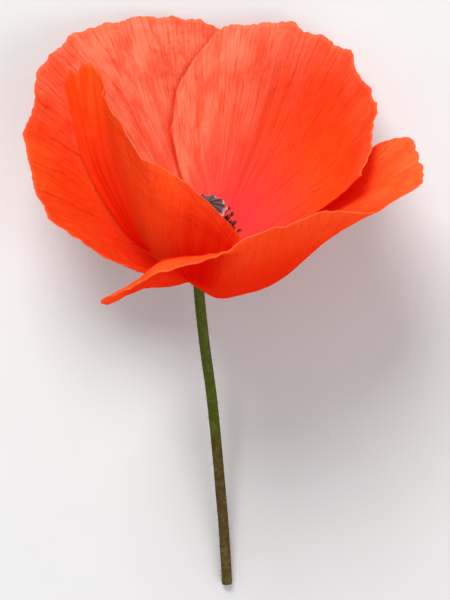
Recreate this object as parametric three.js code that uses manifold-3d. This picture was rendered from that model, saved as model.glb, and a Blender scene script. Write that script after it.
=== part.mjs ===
// A corn poppy flower, picked on a short length of stem and lying on a flat surface.
//
// Four crumpled petals stand in two opposite pairs on the rim of a small receptacle at the top of the
// stem: an outer pair, and an inner pair that overlaps it on the inside. The ovary, capped by a lobed
// stigma disc, stands in the middle with two rings of stamens round its foot.
//
// Millimetres, +Z up. The flower lies on the plane z = 0, on its two back petals and on the cut end of
// the stem, with its cup opening towards +Y and upwards. The origin is the bottom centre of its bounding box.
import * as THREE from "three";
import { mergeVertices } from "three/addons/utils/BufferGeometryUtils.js";
import Module from "manifold-3d";

const wasm = await Module();
wasm.setup();

// Driving dimensions, in mm.
const RECEPTACLE_HEIGHT = 20; // its rim's centre above the surface
const RECEPTACLE_RADIUS = 2.8;
const STEM_RADIUS = 0.95;
const PETAL_THICKNESS = 0.5;
const OVARY_HEIGHT = 12.2;
const DISC_RADIUS = 3.6;
const DISC_THICKNESS = 0.7;
const DISC_LOBES = 10;
const FIT_GAP = 0.3; // between pieces that touch in the flower

// The flower's own axis runs from the receptacle up through the ovary. "side" points to its right
// and "front" to the side of the cup that faces up when it lies down.
const receptacle = new THREE.Vector3(0, 0, RECEPTACLE_HEIGHT);
const axis = new THREE.Vector3(0.077, 0.784, 0.616).normalize();
const side = new THREE.Vector3(1, 0, 0).addScaledVector(axis, -axis.x).normalize();
const front = new THREE.Vector3().crossVectors(side, axis);
const upright = new THREE.Matrix4().makeBasis(side, axis, front).setPosition(receptacle);

// A point given by its turn round the axis (0 is side, 90 is front), its distance from it and its height.
function aroundAxis(degrees, radius, height) {
  const turn = THREE.MathUtils.degToRad(degrees);
  return receptacle
    .clone()
    .addScaledVector(side, radius * Math.cos(turn))
    .addScaledVector(front, radius * Math.sin(turn))
    .addScaledVector(axis, height);
}

// ---- Petals ----
// A petal is a fan of ribs that leave its claw, the narrow foot on the receptacle's rim. Each rib passes
// through three points, the last on the petal's margin. They are listed from one side of the fan to the
// other, and their x and y are measured from the receptacle. "turn" is where the claw sits and "claw" the
// angle it takes up, in degrees. "sense" is 1 where the ribs run the same way round as the turn does and
// -1 where they run against it.
const PETALS = {
  petal_outer_back: {
    turn: 245, radius: 3.2, height: -0.6, claw: 105, sense: 1,
    ribs: [
      [[-5.1, -0.9, 17.8], [-9.6, -1.8, 18], [-13.3, -0.4, 21]],
      [[-5.4, 1.4, 10], [-14.2, 2.2, 15], [-22.9, 4.8, 27]],
      [[-6.7, 3.9, 6.5], [-17.7, 8.5, 9], [-28.8, 13, 28]],
      [[-6.9, 7, 4], [-18.8, 17.4, 4], [-31, 26.1, 20]],
      [[-5.9, 10.1, 2.8], [-15.6, 25.3, 1.6], [-26.9, 37.5, 10]],
      [[-4.1, 12.3, 2.6], [-10.4, 28.9, 0.8], [-16.3, 44, 4.5]],
      [[-1.9, 13.3, 2.3], [-4.1, 29.8, 0.5], [-5.9, 44.7, 2.2]],
      [[0.6, 13.2, 2.2], [1.7, 28.9, 0.5], [2.8, 43.1, 1.6]],
      [[2.6, 11.7, 2.8], [5.6, 24.4, 0.9], [7.6, 35.9, 1.2]],
    ],
  },
  petal_inner_back: {
    turn: 330, radius: 2.6, height: 0.8, claw: 100, sense: 1,
    ribs: [
      [[-0.3, 8.7, 9.2], [-3.8, 16, 4.8], [-5.7, 24.7, 3.4]],
      [[0.5, 10.6, 7], [-2.6, 22, 3.6], [-3.9, 33.8, 3.8]],
      [[1.8, 11.8, 5.8], [1.4, 26.1, 2.8], [1.7, 41, 4.2]],
      [[3.8, 12.2, 5.2], [6.6, 27.6, 2.2], [9.4, 43.8, 4.5]],
      [[6, 11.4, 4.8], [12.2, 26.2, 0.6], [18.5, 43.5, 4.5]],
      [[7.8, 10, 5.6], [17.2, 22.9, 1.4], [26.3, 38.2, 8]],
      [[9.2, 8.3, 8.5], [20.7, 18.7, 7], [30.5, 29.2, 18]],
      [[10.6, 6.1, 12], [22.2, 14, 14], [30.3, 22.6, 26]],
      [[10.9, 3.9, 16], [20.5, 9.3, 24], [27, 15.5, 35]],
    ],
  },
  petal_inner_front: {
    turn: 155, radius: 2.6, height: 0.8, claw: 100, sense: -1,
    ribs: [
      [[-11.8, 3.8, 11.1], [-20.5, 16.9, 7.9], [-24.3, 32.2, 9.5]],
      [[-11, 4.3, 15], [-18.7, 18.9, 12], [-21.6, 35.5, 13.5]],
      [[-9.8, 3.7, 21], [-16.1, 18.9, 19], [-17.7, 33.6, 20]],
      [[-8.8, 2.4, 26], [-12.9, 15.8, 28], [-15.8, 27.6, 29]],
      [[-7.3, 0.9, 30.5], [-9.4, 10.7, 36], [-11.1, 19.6, 38]],
      [[-4.4, 0.7, 33.5], [-4.9, 8.5, 41], [-4.5, 14.7, 44]],
      [[-0.9, 0.7, 33.5], [0.1, 6.2, 40], [0.8, 10.8, 43]],
      [[3.2, 0.1, 31], [5.4, 1.9, 36], [6.6, 4.4, 39]],
    ],
  },
  petal_outer_front: {
    turn: 70, radius: 3.2, height: -0.3, claw: 110, sense: -1,
    ribs: [
      [[-3.2, -3.4, 29], [-8.7, -4.3, 38], [-13.8, -5.8, 44]],
      [[-2.9, -3.3, 31.2], [-8.5, -3.8, 41.8], [-15.7, -6.8, 46.8]],
      [[-2.6, -3.2, 33], [-7.9, -3, 45], [-16.2, -6.2, 48.5]],
      [[-2.2, -3.2, 34], [-6.6, -2.1, 47.2], [-12.7, -3.6, 51]],
      [[-1.9, -3.2, 35], [-5.1, -1.3, 49], [-8.9, -1.2, 53]],
      [[-1.1, -3.9, 36], [-2.1, -1.3, 51], [-3.7, 0.9, 57]],
      [[0.6, -4.9, 36], [1.9, -1.7, 52], [1.9, 2.6, 61]],
      [[3.2, -6, 35], [6, -1.3, 52], [6.8, 4.6, 62]],
      [[6.9, -5.4, 33], [11.8, 0, 50], [13.9, 6.4, 61]],
      [[10.4, -4.2, 30], [18.6, 2.1, 46], [22.2, 8.1, 57]],
      [[13, -2.1, 26], [23.1, 5.2, 40], [30.8, 9.3, 49]],
      [[13.6, -0.4, 21], [24.6, 8.1, 32], [37.8, 14.3, 40]],
      [[13.2, 1.1, 17], [24.7, 10.2, 25], [38.1, 19.7, 33]],
      [[12.3, 2.6, 13], [23.5, 12, 18], [33.3, 21.9, 26]],
      [[11.3, 4, 9], [21.3, 13.6, 11], [28.2, 20.1, 16]],
    ],
  },
};
const STEPS_BETWEEN_RIBS = 3;
const STEPS_ALONG_RIB = 10;

function curveThrough(points) {
  return new THREE.CatmullRomCurve3(points, false, "catmullrom", 0.5);
}

// The petal's middle surface as rows of points: rows run from claw to margin, one row a step of the fan.
function petalRows({ turn, radius, height, claw, sense, ribs }) {
  const curves = ribs.map((points, i) => {
    const share = i / (ribs.length - 1) - 0.5;
    const start = aroundAxis(turn + sense * share * claw, radius, height);
    return curveThrough([start, ...points.map(([x, y, z]) => new THREE.Vector3(x, y, z))]);
  });
  const steps = (ribs.length - 1) * STEPS_BETWEEN_RIBS;
  const columns = [];
  for (let j = 0; j <= STEPS_ALONG_RIB; j++) {
    const across = curveThrough(curves.map((curve) => curve.getPoint(j / STEPS_ALONG_RIB)));
    columns.push(Array.from({ length: steps + 1 }, (_, i) => across.getPoint(i / steps)));
  }
  return Array.from({ length: steps + 1 }, (_, i) => columns.map((column) => column[i]));
}

// A closed sheet of even thickness about a grid of points.
function sheetGeometry(rows, thickness) {
  const last = rows.length - 1;
  const end = rows[0].length - 1;
  const normalAt = (i, j) => {
    const u = rows[Math.min(i + 1, last)][j].clone().sub(rows[Math.max(i - 1, 0)][j]);
    const v = rows[i][Math.min(j + 1, end)].clone().sub(rows[i][Math.max(j - 1, 0)]);
    return u.cross(v).normalize();
  };
  const positions = [];
  for (const face of [1, -1])
    for (let i = 0; i <= last; i++)
      for (let j = 0; j <= end; j++)
        positions.push(...rows[i][j].clone().addScaledVector(normalAt(i, j), (face * thickness) / 2));
  const at = (face, i, j) => face * (last + 1) * (end + 1) + i * (end + 1) + j;
  const triangles = [];
  const quad = (a, b, c, d) => triangles.push(a, b, c, a, c, d);
  for (let i = 0; i < last; i++)
    for (let j = 0; j < end; j++) {
      quad(at(0, i, j), at(0, i + 1, j), at(0, i + 1, j + 1), at(0, i, j + 1));
      quad(at(1, i, j), at(1, i, j + 1), at(1, i + 1, j + 1), at(1, i + 1, j));
    }
  for (let i = 0; i < last; i++) {
    quad(at(0, i, 0), at(1, i, 0), at(1, i + 1, 0), at(0, i + 1, 0));
    quad(at(0, i + 1, end), at(1, i + 1, end), at(1, i, end), at(0, i, end));
  }
  for (let j = 0; j < end; j++) {
    quad(at(0, 0, j + 1), at(1, 0, j + 1), at(1, 0, j), at(0, 0, j));
    quad(at(0, last, j), at(1, last, j), at(1, last, j + 1), at(0, last, j + 1));
  }
  const geometry = new THREE.BufferGeometry();
  geometry.setAttribute("position", new THREE.Float32BufferAttribute(positions, 3));
  geometry.setIndex(triangles);
  return geometry;
}

// ---- Stem with the receptacle ----
const STEM_PATH = [
  [-0.6, -3.7, 16.5],
  [0.3, -13.4, 12.5],
  [1.7, -24.1, 8.8],
  [2.9, -36.8, 5.3],
  [3.8, -47.7, 2.7],
  [4.4, -57.6, 0.95],
];
const STEM_SIDES = 6;
const STEM_STEPS = 18;

function solidOf(geometry, matrix = new THREE.Matrix4()) {
  const bare = geometry.clone().applyMatrix4(matrix);
  bare.deleteAttribute("normal");
  bare.deleteAttribute("uv");
  const merged = mergeVertices(bare, 1e-4);
  return new wasm.Manifold(
    new wasm.Mesh({
      numProp: 3,
      vertProperties: merged.attributes.position.array,
      triVerts: new Uint32Array(merged.index.array),
    }),
  );
}

function geometryOf(solid) {
  const { vertProperties, triVerts } = solid.getMesh();
  const geometry = new THREE.BufferGeometry();
  geometry.setAttribute("position", new THREE.BufferAttribute(new Float32Array(vertProperties), 3));
  geometry.setIndex(new THREE.BufferAttribute(new Uint32Array(triVerts), 1));
  return geometry;
}

function latheGeometry(profile, segments) {
  return new THREE.LatheGeometry(
    profile.map(([radius, height]) => new THREE.Vector2(radius, height)),
    segments,
  );
}

function stemGeometry() {
  const top = aroundAxis(0, 0, -1.2);
  const path = curveThrough([top, ...STEM_PATH.map(([x, y, z]) => new THREE.Vector3(x, y, z))]);
  const section = new THREE.Shape().absarc(0, 0, STEM_RADIUS, 0, 2 * Math.PI);
  const tube = new THREE.ExtrudeGeometry(section, {
    extrudePath: path,
    steps: STEM_STEPS,
    curveSegments: STEM_SIDES,
  });
  const cushion = latheGeometry(
    [
      [0, -3.3],
      [STEM_RADIUS, -3.3],
      [RECEPTACLE_RADIUS - 0.9, -2.3],
      [RECEPTACLE_RADIUS, -1.5],
      [RECEPTACLE_RADIUS, 0],
      [RECEPTACLE_RADIUS - 0.6, 0.5],
      [0, 0.5],
    ],
    16,
  );
  return geometryOf(solidOf(tube).add(solidOf(cushion, upright)));
}

// ---- Ovary and stigma disc ----
const OVARY_FOOT = 0.5 + FIT_GAP;
const OVARY_PROFILE = [
  [0, 0],
  [1.1, 0],
  [1.15, 1],
  [1.5, 2.6],
  [2.1, 5],
  [2.55, 8],
  [2.6, 9.8],
  [2.2, OVARY_HEIGHT - OVARY_FOOT],
  [0, OVARY_HEIGHT - OVARY_FOOT],
];

function discGeometry() {
  const outline = new THREE.Shape();
  const points = DISC_LOBES * 8;
  for (let k = 0; k <= points; k++) {
    const turn = (2 * Math.PI * k) / points;
    const radius = DISC_RADIUS * (0.94 + 0.06 * Math.cos(DISC_LOBES * turn));
    const method = k ? "lineTo" : "moveTo";
    outline[method](radius * Math.cos(turn), radius * Math.sin(turn));
  }
  const disc = new THREE.ExtrudeGeometry(outline, { depth: DISC_THICKNESS, bevelEnabled: false });
  return disc.rotateX(-Math.PI / 2);
}

// ---- Stamens ----
// A stamen is a thin filament that ends in a plump anther, in one piece.
const STAMEN_RINGS = [
  { count: 20, radius: 1.62, splay: 18, length: 9.6 },
  { count: 22, radius: 2.02, splay: 31, length: 8.4 },
];
const FILAMENT_RADIUS = 0.13;
const ANTHER_RADIUS = 0.42;
const ANTHER_LENGTH = 1.1;

function stamenGeometry(length) {
  const neck = length - ANTHER_LENGTH;
  return latheGeometry(
    [
      [0, 0],
      [FILAMENT_RADIUS, 0],
      [FILAMENT_RADIUS, neck],
      [ANTHER_RADIUS, neck + 0.3 * ANTHER_LENGTH],
      [ANTHER_RADIUS, neck + 0.7 * ANTHER_LENGTH],
      [0, length],
    ],
    6,
  );
}

function stamenMatrix(degrees, radius, splay) {
  const turn = THREE.MathUtils.degToRad(degrees);
  const lean = THREE.MathUtils.degToRad(splay);
  const placed = new THREE.Matrix4()
    .makeRotationY(-turn)
    .multiply(new THREE.Matrix4().makeTranslation(radius, 0.5 + FIT_GAP, 0))
    .multiply(new THREE.Matrix4().makeRotationZ(-lean));
  return upright.clone().multiply(placed);
}

// ---- Assembly ----
const petalRed = new THREE.MeshStandardMaterial({ color: 0xf03c14, roughness: 0.55, side: THREE.DoubleSide });
const stemGreen = new THREE.MeshStandardMaterial({ color: 0x5a6420, roughness: 0.7 });
const ovaryGreen = new THREE.MeshStandardMaterial({ color: 0x8a8f66, roughness: 0.6 });
const discPurple = new THREE.MeshStandardMaterial({ color: 0x4a3040, roughness: 0.8 });
const stamenBlack = new THREE.MeshStandardMaterial({ color: 0x1c1018, roughness: 0.7 });

const poppy = new THREE.Group();

function addPiece(name, geometry, material, matrix = new THREE.Matrix4()) {
  const mesh = new THREE.Mesh(geometry, material);
  mesh.name = name;
  mesh.applyMatrix4(matrix);
  poppy.add(mesh);
}

for (const [name, petal] of Object.entries(PETALS))
  addPiece(name, sheetGeometry(petalRows(petal), PETAL_THICKNESS), petalRed);

addPiece("stem", stemGeometry(), stemGreen);
addPiece(
  "ovary",
  latheGeometry(OVARY_PROFILE, 20),
  ovaryGreen,
  upright.clone().multiply(new THREE.Matrix4().makeTranslation(0, OVARY_FOOT, 0)),
);
addPiece(
  "stigma_disc",
  discGeometry(),
  discPurple,
  upright.clone().multiply(new THREE.Matrix4().makeTranslation(0, OVARY_HEIGHT + FIT_GAP, 0)),
);

let stamenNumber = 0;
for (const [ringIndex, { count, radius, splay, length }] of STAMEN_RINGS.entries())
  for (let k = 0; k < count; k++) {
    stamenNumber += 1;
    const turn = (360 / count) * (k + 0.5 * ringIndex);
    const uneven = Math.sin(2.4 * stamenNumber);
    addPiece(
      `stamen_${String(stamenNumber).padStart(2, "0")}`,
      stamenGeometry(length + 0.5 * uneven),
      stamenBlack,
      stamenMatrix(turn, radius, splay + 3 * uneven),
    );
  }

// The origin goes to the bottom centre of the bounding box.
const box = new THREE.Box3().setFromObject(poppy, true);
const middle = box.getCenter(new THREE.Vector3());
poppy.position.set(-middle.x, -middle.y, -box.min.z);

export default poppy;
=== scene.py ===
"""The look of a corn poppy flower that lies on a pale floor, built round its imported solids.

Shapes are made in millimetres from the receptacle's foot, as the solids are, and move to their place in
metres at the end.
"""
import math

import bpy
import numpy as np
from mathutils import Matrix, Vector


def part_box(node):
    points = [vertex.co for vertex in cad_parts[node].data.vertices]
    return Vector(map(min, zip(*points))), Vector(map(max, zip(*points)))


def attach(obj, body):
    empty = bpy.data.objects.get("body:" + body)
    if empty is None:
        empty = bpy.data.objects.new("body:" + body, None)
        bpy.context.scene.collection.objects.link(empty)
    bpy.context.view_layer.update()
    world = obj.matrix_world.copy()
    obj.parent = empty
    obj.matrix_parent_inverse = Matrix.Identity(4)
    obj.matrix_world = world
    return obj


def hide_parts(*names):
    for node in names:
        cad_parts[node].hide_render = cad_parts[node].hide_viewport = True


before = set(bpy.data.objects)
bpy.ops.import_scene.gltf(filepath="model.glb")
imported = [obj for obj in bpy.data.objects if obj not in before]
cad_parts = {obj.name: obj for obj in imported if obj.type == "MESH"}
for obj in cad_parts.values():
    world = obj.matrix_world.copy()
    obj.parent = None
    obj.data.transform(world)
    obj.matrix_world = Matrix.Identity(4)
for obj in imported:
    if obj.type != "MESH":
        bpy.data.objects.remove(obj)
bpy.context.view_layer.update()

MM = 0.001

# ---- Sizes that the solids are built to, in mm ----
RECEPTACLE = np.array([0.0, 0.0, 20.0])
RECEPTACLE_RADIUS = 2.8
STEM_RADIUS = 0.95
OVARY_HEIGHT = 12.2
DISC_RADIUS = 3.6
DISC_THICKNESS = 0.7
FIT_GAP = 0.3


def unit(v):
    v = np.asarray(v, float)
    return v / np.linalg.norm(v, axis=-1, keepdims=True)


AXIS = unit([0.077, 0.784, 0.616])
SIDE = unit(np.array([1.0, 0.0, 0.0]) - AXIS * AXIS[0])
FRONT = np.cross(SIDE, AXIS)

low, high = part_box("stigma_disc")
SHIFT = (np.array(low) + np.array(high)) / 2 / MM - (
    RECEPTACLE + AXIS * (OVARY_HEIGHT + FIT_GAP + DISC_THICKNESS / 2)
)


def around_axis(degrees, radius, height):
    """Points by their turn round the flower's axis, their distance from it and their height on it."""
    turn, radius, height = (np.asarray(x, float)[..., None] for x in (np.radians(degrees), radius, height))
    return RECEPTACLE + SIDE * radius * np.cos(turn) + FRONT * radius * np.sin(turn) + AXIS * height


# ---- Small mathematics ----
def spline(points, t):
    """The Catmull-Rom curve through points, at parameters 0 to 1. Points may be whole rows of points."""
    points = np.asarray(points, float)
    spans = len(points) - 1
    ends = np.concatenate([[2 * points[0] - points[1]], points, [2 * points[-1] - points[-2]]])
    at = np.clip(np.asarray(t, float) * spans, 0, spans - 1e-9)
    k = at.astype(int)
    w = (at - k).reshape((-1,) + (1,) * (points.ndim - 1))
    a, b, c, d = ends[k], ends[k + 1], ends[k + 2], ends[k + 3]
    return 0.5 * (2 * b + (c - a) * w + (2 * a - 5 * b + 4 * c - d) * w**2 + (3 * b - a - 3 * c + d) * w**3)


def smooth(low, high, x):
    t = np.clip((x - low) / (high - low), 0, 1)
    return t * t * (3 - 2 * t)


def noise(x, y, seed=0):
    """Smooth gradient noise from about -1 to 1, one feature to each unit of x and y."""
    x, y = np.broadcast_arrays(np.asarray(x, float), np.asarray(y, float))
    xi, yi = np.floor(x).astype(np.int64), np.floor(y).astype(np.int64)
    xf, yf = x - xi, y - yi

    def corner(dx, dy):
        h = (xi + dx) * 374761393 + (yi + dy) * 668265263 + (seed + 11) * 974711
        h = (h ^ (h >> 13)) * 1274126177 & 0xFFFFFFFF
        angle = (h ^ (h >> 16)) % 65536 * (2 * math.pi / 65536)
        return np.cos(angle) * (xf - dx) + np.sin(angle) * (yf - dy)

    u, v = (f * f * f * (f * (f * 6 - 15) + 10) for f in (xf, yf))
    bottom = corner(0, 0) * (1 - u) + corner(1, 0) * u
    top = corner(0, 1) * (1 - u) + corner(1, 1) * u
    return 1.5 * (bottom * (1 - v) + top * v)


def rough(x, y, seed=0):
    """Three sizes of noise, each half as large and half as strong as the one before."""
    return sum(noise(x * 2**k, y * 2**k, seed + 31 * k) / 2**k for k in range(3))


def creased(x, y, seed=0):
    """Noise with sharp ridges, as in crushed silk, from 0 to 1."""
    return (1 - np.clip(np.abs(noise(x, y, seed)) * 1.6, 0, 1)) ** 2


# ---- Meshes ----
SHARP_EDGE = 60  # degrees, from which an edge stays sharp


def normals(grid):
    return unit(np.cross(np.gradient(grid, axis=0), np.gradient(grid, axis=1)) + 1e-12)


def new_object(name, points, faces, material, attributes):
    mesh = bpy.data.meshes.new(name)
    mesh.from_pydata(((np.asarray(points) + SHIFT) * MM).tolist(), [], faces)
    for key, values in attributes:
        layer = mesh.attributes.new(key, "FLOAT_VECTOR", "POINT")
        layer.data.foreach_set("vector", np.asarray(values, np.float32).ravel())
    mesh.polygons.foreach_set("use_smooth", [True] * len(mesh.polygons))
    mesh.set_sharp_from_angle(angle=math.radians(SHARP_EDGE))
    mesh.materials.append(material)
    mesh.update()
    obj = bpy.data.objects.new(name, mesh)
    bpy.context.scene.collection.objects.link(obj)
    return obj


def sheet(name, grid, thickness, material, attributes):
    """A closed thin sheet about a grid of points. Each attribute is a grid of vectors."""
    rows, columns = grid.shape[:2]
    offset = normals(grid) * thickness[..., None] / 2
    points = np.concatenate([(grid + offset).reshape(-1, 3), (grid - offset).reshape(-1, 3)])
    index = np.arange(rows * columns).reshape(rows, columns)
    back = index + rows * columns

    def quads(a, b, c, d):
        return np.stack([a.ravel(), b.ravel(), c.ravel(), d.ravel()], 1)

    i, j = index[:-1], index[1:]
    k, m = back[:-1], back[1:]
    faces = [
        quads(i[:, :-1], j[:, :-1], j[:, 1:], i[:, 1:]),
        quads(k[:, :-1], k[:, 1:], m[:, 1:], m[:, :-1]),
        quads(index[:-1, 0], back[:-1, 0], back[1:, 0], index[1:, 0]),
        quads(index[1:, -1], back[1:, -1], back[:-1, -1], index[:-1, -1]),
        quads(index[0, 1:], back[0, 1:], back[0, :-1], index[0, :-1]),
        quads(index[-1, :-1], back[-1, :-1], back[-1, 1:], index[-1, 1:]),
    ]
    doubled = [(key, np.concatenate([v.reshape(-1, 3)] * 2)) for key, v in attributes]
    return new_object(name, points, np.concatenate(faces).tolist(), material, doubled)


class Parts:
    """Collects closed shapes that become one mesh."""

    def __init__(self):
        self.points, self.faces, self.marks, self.count = [], [], [], 0

    def add(self, points, faces, marks):
        self.points.append(points)
        self.marks.append(np.broadcast_to(marks, points.shape))
        self.faces += [tuple(v + self.count for v in face) for face in faces]
        self.count += len(points)

    def tube(self, centres, across, rings, marks):
        """A closed tube of rings round a line of centres. across holds a pair of unit vectors for each
        centre, and rings the radii."""
        steps, sides = rings.shape[:2]
        turn = np.linspace(0, 2 * math.pi, sides, endpoint=False)
        ring = across[0][:, None] * np.cos(turn)[:, None] + across[1][:, None] * np.sin(turn)[:, None]
        points = centres[:, None] + ring * rings[..., None]
        index = np.arange(steps * sides).reshape(steps, sides)
        following = np.roll(index, -1, axis=1)
        faces = np.stack([index[:-1], following[:-1], following[1:], index[1:]], -1).reshape(-1, 4).tolist()
        faces += [index[0, ::-1].tolist(), index[-1].tolist()]
        marks = np.broadcast_to(marks[:, None] if marks.ndim == 2 else marks, points.shape)
        self.add(points.reshape(-1, 3), faces, marks.reshape(-1, 3))

    def build(self, name, material):
        marks = [("mark", np.concatenate(self.marks))]
        return new_object(name, np.concatenate(self.points), self.faces, material, marks)


def frames_along(centres, hint):
    """Two unit vectors across a smooth line of points, the first as near to hint as possible."""
    along = unit(np.gradient(centres, axis=0))
    first = unit(hint - along * (along @ hint)[:, None])
    return first, np.cross(along, first)


# ---- Materials ----
class Nodes:
    """A material and short ways to add nodes to it."""

    def __init__(self, name):
        self.material = bpy.data.materials.new(name)
        self.material.use_nodes = True
        self.tree = self.material.node_tree
        self.tree.nodes.clear()
        self.output = self.new("ShaderNodeOutputMaterial")

    def new(self, kind, inputs=(), **settings):
        node = self.tree.nodes.new(kind)
        for key, value in settings.items():
            setattr(node, key, value)
        for key, value in dict(inputs).items():
            self.put(node.inputs[key], value)
        return node

    def put(self, socket, value):
        if isinstance(value, bpy.types.NodeSocket):
            self.tree.links.new(value, socket)
        else:
            socket.default_value = value

    def math(self, operation, a, b=0.0, clamp=False):
        return self.new("ShaderNodeMath", {0: a, 1: b}, operation=operation, use_clamp=clamp).outputs[0]

    def step(self, value, low, high, to_low=0.0, to_high=1.0):
        inputs = {"Value": value, "From Min": low, "From Max": high, "To Min": to_low, "To Max": to_high}
        return self.new("ShaderNodeMapRange", inputs, interpolation_type="SMOOTHSTEP").outputs[0]

    def mix(self, amount, a, b):
        node = self.new("ShaderNodeMix", data_type="RGBA")
        for socket, value in zip((node.inputs[0], node.inputs[6], node.inputs[7]), (amount, a, b)):
            if isinstance(value, tuple):
                value = (*value, 1.0)
            self.put(socket, value)
        return node.outputs[2]

    def attribute(self, name):
        source = self.new("ShaderNodeAttribute", attribute_name=name)
        return self.new("ShaderNodeSeparateXYZ", {0: source.outputs["Vector"]}).outputs

    def vector(self, x, y, z=0.0):
        return self.new("ShaderNodeCombineXYZ", {0: x, 1: y, 2: z}).outputs[0]

    def noise(self, vector, scale, detail=3.0, roughness=0.5):
        inputs = {"Vector": vector, "Scale": scale, "Detail": detail, "Roughness": roughness}
        return self.new("ShaderNodeTexNoise", inputs).outputs["Fac"]

    def object_place(self):
        return self.new("ShaderNodeTexCoord").outputs["Object"]

    def bump(self, height, distance, strength=1.0):
        inputs = {"Height": height, "Distance": distance, "Strength": strength}
        return self.new("ShaderNodeBump", inputs).outputs[0]

    def principled(self, **inputs):
        return self.new("ShaderNodeBsdfPrincipled", {k.replace("_", " "): v for k, v in inputs.items()})

    def finish(self, surface):
        self.tree.links.new(surface, self.output.inputs["Surface"])
        return self.material


# Sizes of vein: their spacing in mm, the share of the petal's length where they begin, their strength and
# how sharp they are.
VEINS = ((2.9, 0.0, 1.0, 6.0), (1.45, 0.42, 0.8, 3.4), (0.725, 0.72, 0.35, 2.4))


def petal_material(name, pale, veined, sheen):
    """Silky red tissue with radiating veins. "fan" holds the place across the petal's margin in mm, the
    share of the way from claw to margin and the distance from the claw in mm. "tone" holds how far the
    petal is pale, how far painted shade deepens its red and how far it is pink there, and "crush" how far
    it is crinkled and orange. pale is the pale colour, veined is how strong the veins are (and the painted
    highlight on the margin) and sheen how silky the surface is."""
    n = Nodes(name)
    across, share, along = n.attribute("fan")
    light, painted_shade, pink = n.attribute("tone")
    crush, orange, _ = n.attribute("crush")
    wander = n.noise(n.vector(across, n.math("MULTIPLY", along, 0.35)), 0.15, 2.0)
    wobble = n.noise(n.vector(across, along), 0.7, 2.0)
    drift = n.math("ADD", n.math("MULTIPLY", wander, 6.0), n.math("MULTIPLY", wobble, 0.7))
    place = n.math("ADD", across, drift)
    broken = n.noise(n.vector(across, n.math("MULTIPLY", along, 0.45)), 0.42, 4.0, 0.6)
    veins = None
    for spacing, first, strength, sharpness in VEINS:
        wave = n.math("ABSOLUTE", n.math("SINE", n.math("MULTIPLY", place, math.pi / spacing)))
        line = n.math("POWER", n.math("SUBTRACT", 1.0, wave), sharpness)
        shown = n.math("MULTIPLY", line, n.step(share, first - 0.12, first + 0.12, 0.0, strength))
        veins = shown if veins is None else n.math("MAXIMUM", veins, shown)
    veins = n.math("MULTIPLY", veins, n.step(broken, 0.36, 0.62, 0.12, 1.0), clamp=True)
    streaks = n.noise(n.vector(across, n.math("MULTIPLY", along, 0.09)), 1.3, 4.0, 0.6)
    patches = n.noise(n.vector(across, n.math("MULTIPLY", along, 0.7)), 0.17, 4.0, 0.6)
    net = n.noise(n.vector(n.math("MULTIPLY", across, 0.55), along), 0.5, 2.0, 0.5)
    off_line = n.math("MULTIPLY", n.math("ABSOLUTE", n.math("SUBTRACT", net, 0.5)), 14.0)
    net = n.math("SUBTRACT", 1.0, off_line, clamp=True)
    net = n.math("MULTIPLY", net, crush)

    body = n.mix(light, (0.97, 0.060, 0.004), pale)
    body = n.mix(orange, body, (0.99, 0.16, 0.014))
    body = n.mix(n.step(patches, 0.42, 0.62, 0.0, 0.55), body, (0.98, 0.085, 0.012))
    body = n.mix(n.step(streaks, 0.4, 0.68, 0.0, 0.3), body, (0.97, 0.055, 0.006))
    body = n.mix(n.math("MULTIPLY", veins, veined), body, (0.78, 0.014, 0.003))
    # The crinkle lines are darkened a little, as painted shade in their creases.
    body = n.mix(n.math("MULTIPLY", net, 0.14), body, (0.78, 0.03, 0.006))
    # Painted shade: dark red where the petal lies in folds, under other petals, on faces turned from the
    # light and near the claw.
    body = n.mix(painted_shade, body, (0.80, 0.003, 0.0005))
    body = n.mix(pink, body, (0.97, 0.058, 0.080))
    # A painted highlight along the margin.
    rim = n.step(share, 0.98, 1.0)
    body = n.mix(n.math("MULTIPLY", rim, 0.5 * veined), body, (0.99, 0.34, 0.15))
    height = n.math("ADD", n.math("MULTIPLY", veins, 0.5), n.math("MULTIPLY", streaks, 0.8))
    height = n.math("SUBTRACT", height, n.math("MULTIPLY", net, 0.5))
    bump = n.bump(height, 0.00007, 0.8)
    surface = n.principled(Base_Color=body, Roughness=0.5, Specular_IOR_Level=2.5 * sheen,
                           Specular_Tint=(1.0, 0.5, 0.3, 1.0), Sheen_Weight=sheen, Sheen_Roughness=0.4,
                           Sheen_Tint=(1.0, 0.3, 0.15, 1.0), Normal=bump)
    through = n.mix(0.15, body, (1.0, 0.10, 0.008))
    glow = n.new("ShaderNodeBsdfTranslucent", {"Color": through, "Normal": bump})
    both = n.new("ShaderNodeMixShader", {0: 0.42, 1: surface.outputs[0], 2: glow.outputs[0]})
    return n.finish(both.outputs[0])


def stem_material():
    """Olive skin that turns brown towards the cut. mark: the share of the way down, and 1 on a hair."""
    n = Nodes("poppy_stem")
    down, hair, _ = n.attribute("mark")
    place = n.object_place()
    mottle = n.noise(place, 900.0, 4.0, 0.6)
    patches = n.noise(place, 130.0, 3.0)
    uneven = n.math("MULTIPLY", n.math("SUBTRACT", patches, 0.5), 0.2)
    brown = n.step(n.math("ADD", down, uneven), 0.59, 0.70)
    skin = n.mix(brown, (0.052, 0.072, 0.002), (0.070, 0.035, 0.008))
    skin = n.mix(n.step(mottle, 0.4, 0.75, 0.0, 0.6), skin, (0.12, 0.125, 0.03))
    skin = n.mix(hair, skin, (0.26, 0.25, 0.11))
    bump = n.bump(mottle, 0.00008, 0.6)
    surface = n.principled(Base_Color=skin, Roughness=0.6, Specular_IOR_Level=0.08, Normal=bump)
    return n.finish(surface.outputs[0])


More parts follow.
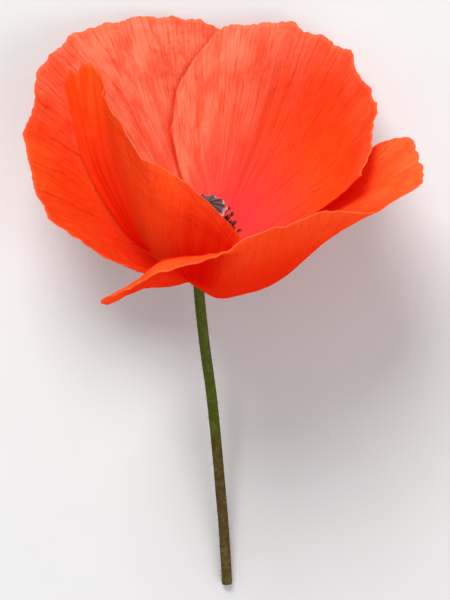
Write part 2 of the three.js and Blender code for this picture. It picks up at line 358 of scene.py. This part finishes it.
def ovary_material():
    """Grey-green skin with a pale bloom. mark: how near a ridge is."""
    n = Nodes("poppy_ovary")
    ridge, _, _ = n.attribute("mark")
    bloom = n.noise(n.object_place(), 700.0, 4.0, 0.6)
    skin = n.mix(ridge, (0.20, 0.235, 0.13), (0.34, 0.37, 0.24))
    skin = n.mix(n.step(bloom, 0.4, 0.7, 0.0, 0.4), skin, (0.42, 0.46, 0.36))
    bump = n.bump(bloom, 0.00004, 0.5)
    surface = n.principled(Base_Color=skin, Roughness=0.65, Specular_IOR_Level=0.3, Normal=bump)
    return n.finish(surface.outputs[0])


def stigma_material():
    """mark: how much of a velvety ray and how much of the pale rim is there."""
    n = Nodes("poppy_stigma")
    ray, rim, _ = n.attribute("mark")
    fuzz = n.noise(n.object_place(), 3500.0, 4.0, 0.7)
    skin = n.mix(rim, (0.080, 0.052, 0.045), (0.46, 0.26, 0.27))
    velvet = n.mix(fuzz, (0.012, 0.006, 0.014), (0.075, 0.03, 0.06))
    skin = n.mix(ray, skin, velvet)
    surface = n.principled(Base_Color=skin, Roughness=0.85, Specular_IOR_Level=0.2, Sheen_Weight=0.3,
                           Sheen_Roughness=0.5, Normal=n.bump(fuzz, 0.00006, 0.8))
    return n.finish(surface.outputs[0])


def stamen_material():
    """mark: 0 on a filament and 1 on an anther, and how near an anther's seam is."""
    n = Nodes("poppy_stamen")
    anther, seam, _ = n.attribute("mark")
    grain = n.noise(n.object_place(), 5200.0, 3.0, 0.6)
    thread = n.mix(grain, (0.035, 0.004, 0.012), (0.10, 0.012, 0.028))
    sac = n.mix(n.step(grain, 0.35, 0.75), (0.060, 0.010, 0.010), (0.20, 0.055, 0.030))
    sac = n.mix(n.math("MULTIPLY", seam, 0.8), sac, (0.42, 0.22, 0.10))
    skin = n.mix(anther, thread, sac)
    bump = n.bump(grain, 0.00003, 0.7)
    surface = n.principled(Base_Color=skin, Roughness=0.7, Specular_IOR_Level=0.3, Normal=bump)
    return n.finish(surface.outputs[0])


def floor_material():
    n = Nodes("pale_floor")
    grain = n.noise(n.object_place(), 60.0, 4.0)
    colour = n.mix(grain, (0.565, 0.56, 0.55), (0.595, 0.59, 0.58))
    surface = n.principled(Base_Color=colour, Roughness=0.75, Specular_IOR_Level=0.2)
    return n.finish(surface.outputs[0])


# ---- Petals ----
# The same fans of ribs as the solids have. "turn" is where the claw sits and "claw" the angle it takes up,
# in degrees, and "sense" is -1 where the ribs run against the turn. "width" is the length of the margin and
# "length" that of the longest rib, in mm. "pale" is how pale the petal is, "crumple" how deep its folds are
# in mm, "notch" how strongly its margin is scalloped and "lobe" how far apart the scallops are in mm.
# "tongue" is 1 where the first ribs end in a smooth tongue.
PETALS = {
    "petal_outer_back": dict(
        turn=245, radius=3.2, height=-0.6, claw=105, sense=1, width=118, length=47, pale=0.95, seed=3,
        crumple=0.6, notch=1.1, lobe=5.5, tongue=0,
        ribs=[
            [[-5.1, -0.9, 17.8], [-9.6, -1.8, 18], [-13.3, -0.4, 21]],
            [[-5.4, 1.4, 10], [-14.2, 2.2, 15], [-22.9, 4.8, 27]],
            [[-6.7, 3.9, 6.5], [-17.7, 8.5, 9], [-28.8, 13, 28]],
            [[-6.9, 7, 4], [-18.8, 17.4, 4], [-31, 26.1, 20]],
            [[-5.9, 10.1, 2.8], [-15.6, 25.3, 1.6], [-26.9, 37.5, 10]],
            [[-4.1, 12.3, 2.6], [-10.4, 28.9, 0.8], [-16.3, 44, 4.5]],
            [[-1.9, 13.3, 2.3], [-4.1, 29.8, 0.5], [-5.9, 44.7, 2.2]],
            [[0.6, 13.2, 2.2], [1.7, 28.9, 0.5], [2.8, 43.1, 1.6]],
            [[2.6, 11.7, 2.8], [5.6, 24.4, 0.9], [7.6, 35.9, 1.2]],
        ],
    ),
    "petal_inner_back": dict(
        turn=330, radius=2.6, height=0.8, claw=100, sense=1, width=98, length=44, pale=0.85, seed=17,
        crumple=0.42, notch=1.1, lobe=5.5, tongue=0,
        ribs=[
            [[-0.3, 8.7, 9.2], [-3.8, 16, 4.8], [-5.7, 24.7, 3.4]],
            [[0.5, 10.6, 7], [-2.6, 22, 3.6], [-3.9, 33.8, 3.8]],
            [[1.8, 11.8, 5.8], [1.4, 26.1, 2.8], [1.7, 41, 4.2]],
            [[3.8, 12.2, 5.2], [6.6, 27.6, 2.2], [9.4, 43.8, 4.5]],
            [[6, 11.4, 4.8], [12.2, 26.2, 0.6], [18.5, 43.5, 4.5]],
            [[7.8, 10, 5.6], [17.2, 22.9, 1.4], [26.3, 38.2, 8]],
            [[9.2, 8.3, 8.5], [20.7, 18.7, 7], [30.5, 29.2, 18]],
            [[10.6, 6.1, 12], [22.2, 14, 14], [30.3, 22.6, 26]],
            [[10.9, 3.9, 16], [20.5, 9.3, 24], [27, 15.5, 35]],
        ],
    ),
    "petal_inner_front": dict(
        turn=155, radius=2.6, height=0.8, claw=100, sense=-1, width=62, length=43, pale=0.3, seed=29,
        crumple=0.4, notch=1.3, lobe=3.8, tongue=0,
        ribs=[
            [[-11.8, 3.8, 11.1], [-20.5, 16.9, 7.9], [-24.3, 32.2, 9.5]],
            [[-11, 4.3, 15], [-18.7, 18.9, 12], [-21.6, 35.5, 13.5]],
            [[-9.8, 3.7, 21], [-16.1, 18.9, 19], [-17.7, 33.6, 20]],
            [[-8.8, 2.4, 26], [-12.9, 15.8, 28], [-15.8, 27.6, 29]],
            [[-7.3, 0.9, 30.5], [-9.4, 10.7, 36], [-11.1, 19.6, 38]],
            [[-4.4, 0.7, 33.5], [-4.9, 8.5, 41], [-4.5, 14.7, 44]],
            [[-0.9, 0.7, 33.5], [0.1, 6.2, 40], [0.8, 10.8, 43]],
            [[3.2, 0.1, 31], [5.4, 1.9, 36], [6.6, 4.4, 39]],
        ],
    ),
    "petal_outer_front": dict(
        turn=70, radius=3.2, height=-0.3, claw=110, sense=-1, width=118, length=46, pale=0.3, seed=41,
        crumple=0.4, notch=1.2, lobe=5.0, tongue=1,
        ribs=[
            [[-3.2, -3.4, 29], [-8.7, -4.3, 38], [-13.8, -5.8, 44]],
            [[-2.9, -3.3, 31.2], [-8.5, -3.8, 41.8], [-15.7, -6.8, 46.8]],
            [[-2.6, -3.2, 33], [-7.9, -3, 45], [-16.2, -6.2, 48.5]],
            [[-2.2, -3.2, 34], [-6.6, -2.1, 47.2], [-12.7, -3.6, 51]],
            [[-1.9, -3.2, 35], [-5.1, -1.3, 49], [-8.9, -1.2, 53]],
            [[-1.1, -3.9, 36], [-2.1, -1.3, 51], [-3.7, 0.9, 57]],
            [[0.6, -4.9, 36], [1.9, -1.7, 52], [1.9, 2.6, 61]],
            [[3.2, -6, 35], [6, -1.3, 52], [6.8, 4.6, 62]],
            [[6.9, -5.4, 33], [11.8, 0, 50], [13.9, 6.4, 61]],
            [[10.4, -4.2, 30], [18.6, 2.1, 46], [22.2, 8.1, 57]],
            [[13, -2.1, 26], [23.1, 5.2, 40], [30.8, 9.3, 49]],
            [[13.6, -0.4, 21], [24.6, 8.1, 32], [37.8, 14.3, 40]],
            [[13.2, 1.1, 17], [24.7, 10.2, 25], [38.1, 19.7, 33]],
            [[12.3, 2.6, 13], [23.5, 12, 18], [33.3, 21.9, 26]],
            [[11.3, 4, 9], [21.3, 13.6, 11], [28.2, 20.1, 16]],
        ],
    ),
}
ACROSS, ALONG = 300, 120  # points over a petal
DENSE = 500  # points along a rib before the margin is cut
APART = 200  # mm between the patterns of petals whose seeds are one apart
THICKNESS = 0.15
CLAW_THICKNESS = 0.40
LOWEST = 0.16  # no petal's middle surface goes below this, and it eases into it over EASE
EASE = 0.44


def petal_grid(turn, radius, height, claw, sense, width, notch, lobe, tongue, ribs, seed, **_):
    """The petal's middle surface, with u across the fan and v from claw to margin."""
    share = np.linspace(-0.5, 0.5, len(ribs))
    starts = around_axis(turn + sense * claw * share, radius, height)
    points = np.concatenate([starts[:, None], np.array(ribs, float)], axis=1)
    dense = spline(points.transpose(1, 0, 2), np.linspace(0, 1, DENSE)).transpose(1, 0, 2)
    u = np.linspace(0, 1, ACROSS)
    dense = spline(dense, u)
    v = np.linspace(0, 1, ALONG) ** 0.9
    teeth = 0.006 * noise(u * width / 2.3, 0.3, seed) * (1 + noise(u * width / 9, 0.9, seed + 1))
    teeth = teeth + 0.004 * noise(u * width / 1.0, 0.7, seed + 5)
    scallops = 0.017 * noise(u * width / lobe, 0.5, seed + 9)
    scallops = scallops + 0.012 * noise(u * width / 12, 0.5, seed + 10)
    tip = tongue * (1 - smooth(0.14, 0.33, u))
    reach = 0.992 + notch * (scallops + teeth) * (1 - tip) + 0.02 * tip
    at = v[None] * (1 - (1 - reach[:, None]) * smooth(0.5, 1, v)[None]) * (DENSE - 1)
    k = np.minimum(at.astype(int), DENSE - 2)
    w = (at - k)[..., None]
    rows = np.arange(ACROSS)[:, None]
    return dense[rows, k] * (1 - w) + dense[rows, k + 1] * w, u[:, None], v[None]


def petal_relief(u, v, width, length, crumple, seed, **_):
    """How far the surface stands off its middle surface: pleats, creases and a waved margin."""
    x, y = u * width, v * length
    pleats = 0.15 * noise(x / 2.9, v * 1.5, seed) * smooth(0.05, 0.6, v)
    ribs = 0.04 * noise(x / 1.1, v * 3, seed + 2) * smooth(0.1, 0.6, v)
    folds = crumple * noise(x / 8, y / 24, seed + 3) * smooth(0.12, 0.8, v)
    swells = 0.7 * crumple * noise(x / 17, y / 15, seed + 12) * smooth(0.2, 0.8, v)
    creases = 0.22 * crumple * creased(x / 10, y / 4.5, seed + 4) * smooth(0.35, 0.8, v)
    wave = 0.6 * noise(x / 8.5, 0.2, seed + 6) * v**7 + 0.22 * noise(x / 2.8, 0.4, seed + 7) * v**14
    return pleats + ribs + folds + swells + creases + wave


def petal_roll(name, u, v):
    """The left part of the outer front petal rolls its margin outwards, over a shallow hollow. The roll is
    broad where the petal meets its neighbour."""
    if name != "petal_outer_front":
        return 0.0
    where = smooth(0.14, 0.29, u) * (1 - smooth(0.4, 0.59, u))
    broad = 0.13 + 0.07 * np.exp(-(((u - 0.43) / 0.07) ** 2))
    lip = 13 * broad * np.clip((v - 1 + broad) / broad, 0, 1) ** 2
    hollow = 1.5 * np.exp(-(((v - 0.76) / 0.12) ** 2))
    return where * (lip - hollow)


# The edge that the inner back petal lays on the outer one, where a thin painted shadow falls, and the
# fold in which the two left petals meet, which is darkened with painted shade, as lines in x and y.
EDGE = [(2.0, 4.0), (-0.3, 8.7), (-3.8, 16.0), (-5.7, 24.7), (-3.9, 33.8), (1.7, 41.0)]
VALLEY = [(-5.0, -1.0), (-7.6, 0.6), (-13.0, 4.8), (-18.0, 10.8), (-21.0, 18.0), (-24.0, 25.4)]
LINE_POINTS = 60


def from_line(grid, points):
    """How far each point of the grid lies from a line, and how far along it, both seen from above."""
    line = spline(points, np.linspace(0, 1, LINE_POINTS))
    apart = np.linalg.norm(grid[..., None, :2] - line, axis=-1)
    return apart.min(-1), apart.argmin(-1) / (LINE_POINTS - 1)


def tones(name, grid, u, v, pale, seed, width, length, **_):
    """How pale the petal is, how far painted shade deepens its red and how pink it is, as a grid of
    vectors.
    """
    u, v = np.broadcast_arrays(u, v)
    light = pale * (0.6 + 0.5 * smooth(0.25, 0.95, v))
    light = light + 0.1 * rough(u * width / 14, v * length / 14, seed + 8)
    painted_shade, pink = np.zeros_like(u), np.zeros_like(u)
    if name == "petal_outer_back":
        left = 1 - smooth(0.3, 0.56, u)
        light = light * (1 - 0.55 * left)
        # Painted shade in the fold where the inner front petal meets this one, and towards the claw.
        apart, up = from_line(grid, VALLEY)
        painted_shade = 0.85 * np.exp(-((apart / 5.0) ** 2)) * (1 - smooth(0.2, 0.85, up))
        painted_shade = np.maximum(painted_shade, 0.5 * (1 - smooth(0.15, 0.5, v)))
        # A thin painted shadow along the edge of the inner back petal.
        painted_shade = np.maximum(painted_shade, 0.7 * np.exp(-((from_line(grid, EDGE)[0] / 0.55) ** 2)))
    if name == "petal_inner_back":
        light = light * (1.1 - 1.0 * smooth(0.2, 0.66, u)) + 0.25 * smooth(0.8, 1.0, v)
        pink = 0.8 * (1 - smooth(0.25, 0.7, v))
        # Painted shade near the claw, and a thin line of painted shade along its left edge, where it lies
        # on the outer back petal.
        painted_shade = 0.2 * (1 - smooth(0.0, 0.25, v)) + 0.6 * (1 - smooth(0.001, 0.010, u))
    if name == "petal_inner_front":
        # Painted shade in the fold where it meets the outer back petal, stronger at its left edge, and a
        # little towards the claw.
        apart, up = from_line(grid, VALLEY)
        left = 1 - smooth(0.02, 0.16, u)
        painted_shade = (0.5 + 0.35 * left) * np.exp(-((apart / 4.8) ** 2)) * (1 - smooth(0.2, 0.85, up))
        painted_shade = np.maximum(painted_shade, 0.12 * (1 - smooth(0.5, 0.95, v)) * (1 - smooth(0.55, 0.8, u)))
        light = light + (0.25 - 0.2 * left) * (1 - smooth(0.1, 0.4, u)) * smooth(0.4, 0.9, v)
        light = light + 0.25 * smooth(0.85, 1.0, v)
    if name == "petal_outer_front":
        # Painted shade on the lower belly, which faces away from the light.
        painted_shade = 0.65 * (1 - smooth(0.45, 0.97, v)) * (1 - 0.6 * smooth(0.66, 0.79, u))
        # Painted shade in the hollow under the rolled lip.
        hollow = (1 - smooth(0.40, 0.56, u)) * smooth(0.3, 0.5, v) * (1 - smooth(0.81, 0.9, v))
        painted_shade = np.maximum(painted_shade, (0.5 + 0.45 * smooth(0.14, 0.34, u)) * hollow)
        # The right lobe is paler, and the margin gets a painted highlight.
        light = light + 0.5 * smooth(0.71, 0.83, u) * smooth(0.5, 0.85, v) + 0.15 * smooth(0.88, 1.0, v)
    return np.stack([np.clip(x, 0, 1) for x in (light, painted_shade, pink)], -1)


def crushed(name, u, v, width, length, seed, **_):
    """Where the petal is crinkled, like silk that was folded up in the bud, and where it is orange."""
    u, v = np.broadcast_arrays(u, v)
    where = smooth(0.1, 0.7, noise(u * width / 20, v * length / 15, seed + 20)) * smooth(0.35, 0.6, v)
    orange = np.zeros_like(where)
    if name == "petal_outer_back":
        orange = 0.85 * (1 - smooth(0.3, 0.56, u)) * smooth(0.3, 0.75, v)
    if name == "petal_inner_back":
        folded = smooth(0.3, 0.42, u) * (1 - smooth(0.62, 0.75, u)) * smooth(0.68, 0.82, v)
        where = np.maximum(0.4 * where, folded)
        orange = 0.5 * smooth(0.5, 0.9, u)
    if name == "petal_inner_front":
        orange = 0.8 * smooth(0.6, 1.0, v) * (1 - smooth(0.3, 0.6, u))
    if "front" in name:
        where = 0.15 * where
    return np.stack([where, orange, 0 * where], -1)


MATERIALS = {
    "back": petal_material("poppy_petal_back", (0.99, 0.36, 0.20), 0.75, 0.02),
    "front": petal_material("poppy_petal_front", (0.99, 0.22, 0.055), 0.42, 0.0),
}
for name, petal in PETALS.items():
    grid, u, v = petal_grid(**petal)
    relief = petal_relief(u, v, **petal) + petal_roll(name, u, v)
    grid = grid + normals(grid) * relief[..., None]
    z = grid[..., 2]
    grid[..., 2] = np.where(z < LOWEST + EASE, LOWEST + EASE * np.exp((z - LOWEST - EASE) / EASE), z)
    thickness = THICKNESS + (CLAW_THICKNESS - THICKNESS) * (1 - smooth(0, 0.25, v)) + 0 * u
    across, along = np.broadcast_arrays(u * petal["width"], v * petal["length"])
    fan = np.stack([across + APART * petal["seed"], np.broadcast_to(v, across.shape), along], -1)
    maps = [
        ("fan", fan),
        ("tone", tones(name, grid, u, v, **petal)),
        ("crush", crushed(name, u, v, **petal)),
    ]
    look = sheet(f"{name}_look", grid, thickness, MATERIALS[name.split("_")[-1]], maps)
    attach(look, "root")
    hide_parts(name)

# ---- Stem ----
STEM_PATH = [
    [-0.6, -3.7, 16.5],
    [0.3, -13.4, 12.5],
    [1.7, -24.1, 8.8],
    [2.9, -36.8, 5.3],
    [3.8, -47.7, 2.7],
    [4.4, -57.6, 0.95],
]
HAIRS = 420
STEM = stem_material()
rng = np.random.RandomState(8)


def build_stem():
    """The stem with its swollen top, and short hairs over its skin."""
    parts = Parts()
    steps, sides = 260, 40
    t = np.linspace(0, 1, steps) ** 1.6
    top = around_axis(0, 0, 0.5)
    centres = spline([top, around_axis(0, 0, -1.2), *STEM_PATH], t)
    first, second = frames_along(centres, np.array([1.0, 0, 0]))
    length = np.concatenate([[0], np.cumsum(np.linalg.norm(np.diff(centres, axis=0), axis=1))])
    turn = np.linspace(0, 2 * math.pi, sides, endpoint=False)
    swell = np.interp(length, [0, 0.25, 0.5, 2.1, 2.4, 2.9, 3.8, 5.5],
                      [2.2, 2.6, 2.78, 2.78, 2.5, 1.9, 1.1, 0.93])
    uneven = rough(turn[None] * 1.6 + 0.3, length[:, None] / 6, 5) * smooth(1, 5, length)[:, None]
    rings = swell[:, None] * (1 + 0.05 * uneven)
    rings = rings + 0.02 * np.cos(7 * turn)[None] * smooth(3, 8, length)[:, None]
    rings = np.minimum(rings, np.where(length > 6, STEM_RADIUS, RECEPTACLE_RADIUS)[:, None])
    cut = 1 - 0.07 * smooth(length[-1] - 0.25, length[-1], length)
    marks = np.stack([t, 0 * t, 0 * t], -1)
    parts.tube(centres, (first, second), rings * cut[:, None], marks)
    for _ in range(HAIRS):
        k = rng.randint(45, steps - 3)
        angle = rng.uniform(0, 2 * math.pi)
        out = first[k] * math.cos(angle) + second[k] * math.sin(angle)
        foot = centres[k] + out * rings[k, int(angle / (2 * math.pi) * sides) % sides] * 0.97
        if foot[2] + out[2] < 0.5:
            continue
        long = rng.uniform(0.35, 0.8)
        lean = unit(out + 0.21 * rng.normal(size=3))
        s = np.linspace(0, 1, 5)[:, None]
        line = foot + lean * long * s + np.array([0, -0.06, 0.05]) * s**2
        across = frames_along(line, unit(np.cross(lean, [0.3, 0.5, 0.8])))
        radii = (0.034 * (1 - 0.85 * s)) * np.ones((1, 5))
        parts.tube(line, across, radii, np.array([t[k], 1.0, 0.0]))
    return parts.build("stem_look", STEM)


stem = build_stem()
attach(stem, "root")
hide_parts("stem")

# ---- Ovary and stigma disc ----
RAYS = 10
OVARY_FOOT = 0.5 + FIT_GAP


def build_ovary():
    """A capsule that widens upwards, with a ridge below each ray of the disc."""
    parts = Parts()
    steps, sides = 60, 120
    s = np.linspace(0, 1, steps)
    heights = OVARY_FOOT + s * (OVARY_HEIGHT - OVARY_FOOT)
    knots = [0, 1, 2.6, 5, 8, 9.8, 11.4]
    radius = np.interp(heights - OVARY_FOOT, knots, [1.05, 1.15, 1.5, 2.1, 2.5, 2.55, 2.15])
    radius = np.convolve(np.pad(radius, 4, mode="edge"), np.ones(9) / 9, mode="valid")
    turn = np.linspace(0, 2 * math.pi, sides, endpoint=False)
    ridge = np.abs(np.cos(turn * RAYS / 2)) ** 3
    rings = radius[:, None] * (0.94 + 0.06 * ridge[None] * smooth(0.05, 0.4, s)[:, None])
    centres = around_axis(0, 0, heights)
    across = (np.tile(SIDE, (steps, 1)), np.tile(FRONT, (steps, 1)))
    marks = np.zeros((steps, sides, 3))
    marks[..., 0] = ridge
    parts.tube(centres, across, rings, marks)
    return parts.build("ovary_look", ovary_material())


def build_stigma():
    """A cap whose margin is lobed, with a velvety ridge along each ray."""
    rings, sides = 34, 240
    turn = np.linspace(0, 2 * math.pi, sides, endpoint=False)
    lobe = 0.94 + 0.06 * np.cos(RAYS * turn)
    ray = smooth(0.72, 0.97, np.cos(RAYS * turn / 2) ** 2)
    r = np.linspace(0, 1, rings) ** 0.8
    edge = smooth(0.8, 1.0, r)
    dome = 0.55 * (1 - r**2) + 0.1
    ridges = 0.28 * ray[None] * (smooth(0.04, 0.16, r) * (1 - smooth(0.84, 0.93, r)))[:, None]
    grainy = 0.035 * noise(turn[None] * 14, r[:, None] * 22, 2)
    top = dome[:, None] + ridges + grainy - 0.28 * edge[:, None]
    base = OVARY_HEIGHT + FIT_GAP - 0.15
    radial = DISC_RADIUS * r[:, None] * (1 + (lobe[None] - 1) * r[:, None] ** 2)
    degrees = np.degrees(turn)[None] + 0 * radial
    upper = around_axis(degrees, radial, base + top + 0.2)
    under = around_axis(degrees, radial * 0.97, base + 0.05 + 0.12 * r[:, None] + 0 * radial)
    marks = np.zeros((rings, sides, 3))
    marks[..., 0] = ray[None] * (smooth(0.02, 0.12, r) * (1 - smooth(0.84, 0.92, r)))[:, None]
    marks[..., 1] = smooth(0.80, 0.9, r)[:, None]
    loops = np.concatenate([upper[1:], under[1:][::-1]])
    mark_loops = np.concatenate([marks[1:], marks[1:][::-1]])
    count = len(loops)
    index = np.arange(count * sides).reshape(count, sides)
    following = np.roll(index, -1, axis=1)
    faces = np.stack([following[:-1], following[1:], index[1:], index[:-1]], -1).reshape(-1, 4).tolist()
    faces += [index[0].tolist(), index[-1, ::-1].tolist()]
    parts = Parts()
    parts.add(loops.reshape(-1, 3), faces, mark_loops.reshape(-1, 3))
    return parts.build("stigma_disc_look", stigma_material())


for build, node, slot in ((build_ovary, "ovary", "ovary"), (build_stigma, "stigma_disc", "stigma")):
    piece = build()
    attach(piece, "root")
    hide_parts(node)

# ---- Stamens ----
STAMEN = stamen_material()
THREAD_POINTS = 12


def add_stamen(parts, degrees, radius, splay, length, curl):
    """A thread that bends outwards under a two-lobed anther."""
    turn = math.radians(degrees)
    outward = SIDE * math.cos(turn) + FRONT * math.sin(turn)
    sideways = np.cross(AXIS, outward)
    s = np.linspace(0, 1, THREAD_POINTS)
    lean = np.radians(splay) * (0.55 + 0.45 * s) + curl * s**2
    step = length / (THREAD_POINTS - 1)
    strides = np.stack([np.sin(lean), np.cos(lean)], -1) * step
    path = np.cumsum(strides, axis=0) - strides[0]
    wiggle = 0.18 * np.sin(s * 4 + degrees) * s
    centres = around_axis(0, 0, OVARY_FOOT) + outward * (radius + path[:, :1]) + AXIS * path[:, 1:]
    centres = centres + sideways * wiggle[:, None]
    across = frames_along(centres, sideways)
    rings = (0.105 - 0.03 * s)[:, None] * np.ones((1, 6))
    parts.tube(centres, across, rings, np.array([0.0, 0.0, 0.0]))
    tip = centres[-1]
    tilt = unit(unit(centres[-1] - centres[-2]) + 0.3 * rng.normal(size=3))
    size = rng.uniform(0.85, 1.15)
    q = np.linspace(0, 1, 11)
    line = tip + tilt * (q[:, None] - 0.12) * 0.95 * size
    across = frames_along(line, unit(np.cross(tilt, sideways) + 1e-6))
    sides = 16
    around = np.linspace(0, 2 * math.pi, sides, endpoint=False)
    plump = np.sqrt(np.clip(1 - (2 * q - 1) ** 4, 0, 1)) * 0.31 * size + 0.004
    lobes = 0.62 + 0.38 * np.abs(np.cos(around)) ** 0.7
    rings = plump[:, None] * lobes[None]
    marks = np.zeros((len(q), sides, 3))
    marks[..., 0] = 1
    marks[..., 1] = (1 - np.abs(np.cos(around)))[None] ** 3
    parts.tube(line, across, rings, marks)


def build_ring(name, rows):
    """Rows of stamens, each with a count, a radius, a splay in degrees and a length."""
    parts = Parts()
    for count, radius, splay, length in rows:
        for k in range(count):
            degrees = 360 / count * (k + rng.uniform(-0.3, 0.3))
            foot = radius + rng.uniform(-0.1, 0.1)
            lean = splay + rng.uniform(-6, 6)
            reach = length * rng.uniform(0.86, 1.06)
            add_stamen(parts, degrees, foot, lean, reach, rng.uniform(-0.1, 0.35))
    return parts.build(name, STAMEN)


RINGS = (
    ("stamens_inner_look", range(1, 21), ((20, 1.45, 12, 9.4), (26, 1.6, 19, 9.0))),
    ("stamens_outer_look", range(21, 43), ((30, 1.8, 25, 8.4), (32, 1.95, 31, 7.4))),
)
for name, numbers, rows in RINGS:
    ruff = build_ring(name, rows)
    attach(ruff, "root")
    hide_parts(*[f"stamen_{k:02d}" for k in numbers])

# ---- Floor, light and camera ----
FLOOR_HALF = 40  # metres from the middle to an edge
corners = [(x * FLOOR_HALF, y * FLOOR_HALF, 0) for x, y in ((-1, -1), (1, -1), (1, 1), (-1, 1))]
floor_mesh = bpy.data.meshes.new("floor")
floor_mesh.from_pydata(corners, [], [(0, 1, 2, 3)])
floor_mesh.materials.append(floor_material())
floor = bpy.data.objects.new("floor", floor_mesh)
bpy.context.scene.collection.objects.link(floor)

BLOSSOM = Vector((0, 0.01, 0.02))


def area_light(name, place, size, energy):
    """A round soft light, in metres and watts, that faces the blossom."""
    data = bpy.data.lights.new(name, "AREA")
    data.shape, data.size, data.energy = "DISK", size, energy
    light = bpy.data.objects.new(name, data)
    light.location = place
    light.rotation_euler = (Vector(place) - BLOSSOM).to_track_quat("Z", "Y").to_euler()
    bpy.context.scene.collection.objects.link(light)


area_light("key", (-0.2, 0.7, 0.85), 0.6, 13)
area_light("fill", (0.6, -0.5, 0.8), 0.9, 5)

world = bpy.data.worlds.new("studio")
world.use_nodes = True
background = world.node_tree.nodes["Background"]
background.inputs["Color"].default_value = (0.93, 0.95, 1.0, 1)
background.inputs["Strength"].default_value = 0.6
bpy.context.scene.world = world
bpy.context.scene.view_settings.view_transform = "Standard"

# The camera looks straight down. Its place is in mm from the receptacle's foot, like the shapes.
VIEW_CENTRE = (4.025, -6.3)
CAMERA_HEIGHT = 600
SENSOR = 36
LENS = 198.9
camera = bpy.data.objects.new("camera", bpy.data.cameras.new("camera"))
camera.data.sensor_width = SENSOR
camera.data.lens = LENS
camera.data.clip_start = 0.01
camera.location = (np.array([*VIEW_CENTRE, CAMERA_HEIGHT]) + SHIFT) * MM
bpy.context.scene.collection.objects.link(camera)
bpy.context.scene.camera = camera

bpy.context.view_layer.update()
